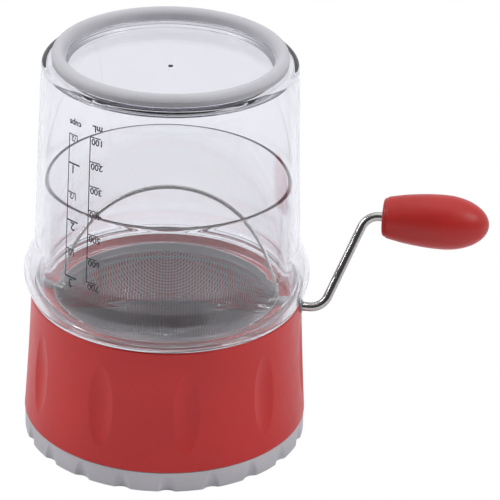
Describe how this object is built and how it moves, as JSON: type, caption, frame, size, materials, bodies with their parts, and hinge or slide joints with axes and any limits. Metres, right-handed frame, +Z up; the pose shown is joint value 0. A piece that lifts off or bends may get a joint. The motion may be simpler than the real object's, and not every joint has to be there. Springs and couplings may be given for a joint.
{
  "type": "rotary flour sifter",
  "caption": "Hand-cranked flour sifter with a wire loop over a mesh bowl, a clear hopper, a graduated measuring cup as cover and a push-fit bottom lid.",
  "frame": {"origin": "centre of the base, on the body's vertical axis, at the lid's underside", "axes": "+Z up along the body's axis, +X along the crank axis towards the knob"},
  "size_m": [0.2004, 0.1248, 0.1802],
  "materials": {
    "red_plastic": "satin",
    "grey_plastic": "satin",
    "clear_plastic": "clear",
    "bearing_plastic": "satin",
    "steel_wire": "polished",
    "steel_mesh": "woven",
    "ink": "printed"
  },
  "bodies": {
    "body": {"body_shell": "red_plastic", "mesh_bowl": "steel_mesh", "mesh_rim": "steel_mesh", "mesh_clamp": "bearing_plastic", "hopper_sleeve": "clear_plastic", "crank_bush": "bearing_plastic", "pivot_bush": "bearing_plastic"},
    "crank": {"crank_rod": "steel_wire", "agitator_loop": "steel_wire", "pivot_pin": "steel_wire", "crank_clip": "steel_mesh", "knob_clip": "steel_mesh"},
    "knob": {"crank_knob": "red_plastic"},
    "cup": {"measuring_cup": "clear_plastic", "cup_foot_ring": "grey_plastic", "ml_scale": "ink", "cups_scale": "ink"},
    "lid": {"bottom_lid": "grey_plastic"}
  },
  "joints": [
    {"name": "crank_turn", "type": "hinge", "parent": "body", "child": "crank", "pos_m": [0, 0, 0.0638], "axis": [1, 0, 0], "continuous": true},
    {"name": "knob_spin", "type": "hinge", "parent": "crank", "child": "knob", "pos_m": [0.11, 0.02098, 0.10014], "axis": [1, 0, 0], "continuous": true},
    {"name": "cup_lift", "type": "slide", "parent": "body", "child": "cup", "axis": [0, 0, 1], "range_m": [0, 0.12]},
    {"name": "lid_pull", "type": "slide", "parent": "body", "child": "lid", "axis": [0, 0, -1], "range_m": [0, 0.03]}
  ]
}
